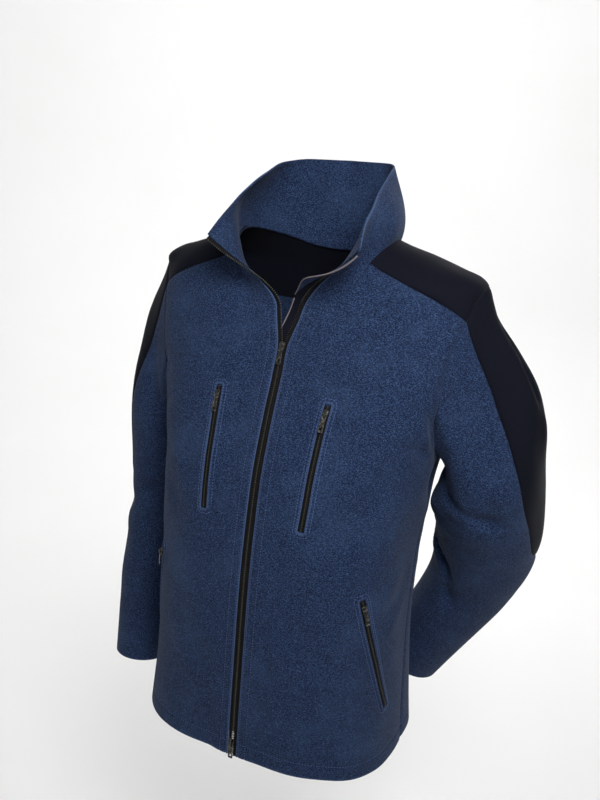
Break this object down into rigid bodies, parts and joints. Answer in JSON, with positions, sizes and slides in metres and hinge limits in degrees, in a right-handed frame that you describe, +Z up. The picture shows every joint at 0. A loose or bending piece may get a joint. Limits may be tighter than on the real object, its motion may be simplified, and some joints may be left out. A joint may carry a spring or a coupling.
{
  "type": "outdoor jacket",
  "caption": "Men's outdoor jacket of felted wool with soft-shell shoulders and outer sleeves, two-way front zip and zipped pockets, worn open at the neck.",
  "frame": {"origin": "the middle of the wearer's neck, level with the tops of the shoulders where they meet the collar", "axes": "+Z up the wearer's body, +X to the wearer's left, the wearer faces -Y"},
  "size_m": [0.6259, 0.373, 0.7981],
  "materials": {
    "wool": "felted blue melange wool, matte with a short nap",
    "soft_shell": "smooth black soft-shell, matte",
    "zip_tape": "woven black zip tape",
    "zip_coil": "black moulded zip teeth",
    "zip_metal": "black nickel plate, slightly worn"
  },
  "bodies": {
    "root": {"front_left": "wool", "front_right": "wool", "back": "wool", "shoulder_yoke": "soft_shell", "collar": "wool", "sleeve_left": "wool", "sleeve_left_panel": "soft_shell", "sleeve_right": "wool", "sleeve_right_panel": "soft_shell", "zip_tape_left": "zip_tape", "zip_chain_left": "zip_coil", "zip_tape_right": "zip_tape", "zip_chain_right": "zip_coil", "wind_flap": "soft_shell", "collar_facing": "wool", "front_top_slider": "zip_metal", "front_bottom_slider": "zip_metal", "chest_left_tape": "zip_tape", "chest_left_chain": "zip_coil", "chest_left_slider": "zip_metal", "hand_left_tape": "zip_tape", "hand_left_chain": "zip_coil", "hand_left_slider": "zip_metal", "chest_right_tape": "zip_tape", "chest_right_chain": "zip_coil", "chest_right_slider": "zip_metal", "hand_right_tape": "zip_tape", "hand_right_chain": "zip_coil", "hand_right_slider": "zip_metal"},
    "pull_front_top": {"front_top_pull": "zip_metal"},
    "pull_front_bottom": {"front_bottom_pull": "zip_metal"},
    "pull_chest_left": {"chest_left_pull": "zip_metal"},
    "pull_hand_left": {"hand_left_pull": "zip_metal"},
    "pull_chest_right": {"chest_right_pull": "zip_metal"},
    "pull_hand_right": {"hand_right_pull": "zip_metal"}
  },
  "joints": [
    {"name": "pull_front_top_swing", "type": "hinge", "parent": "root", "child": "pull_front_top", "pos_m": [0, -0.10087, -0.13405], "axis": [-1, 0, 0], "range_deg": [0, 150]},
    {"name": "pull_front_bottom_swing", "type": "hinge", "parent": "root", "child": "pull_front_bottom", "pos_m": [0, -0.18725, -0.65587], "axis": [-1, 0, 0], "range_deg": [0, 150]},
    {"name": "pull_chest_left_swing", "type": "hinge", "parent": "root", "child": "pull_chest_left", "pos_m": [0.07413, -0.12696, -0.20175], "axis": [-0.9952, -0.0431, 0.0875], "range_deg": [0, 150]},
    {"name": "pull_hand_left_swing", "type": "hinge", "parent": "root", "child": "pull_hand_left", "pos_m": [0.15016, -0.13432, -0.43923], "axis": [-0.6203, -0.7398, -0.2608], "range_deg": [0, 150]},
    {"name": "pull_chest_right_swing", "type": "hinge", "parent": "root", "child": "pull_chest_right", "pos_m": [-0.07413, -0.12696, -0.20175], "axis": [-0.9952, 0.0431, -0.0875], "range_deg": [0, 150]},
    {"name": "pull_hand_right_swing", "type": "hinge", "parent": "root", "child": "pull_hand_right", "pos_m": [-0.15004, -0.13422, -0.43923], "axis": [-0.6203, 0.7398, 0.2608], "range_deg": [0, 150]}
  ]
}
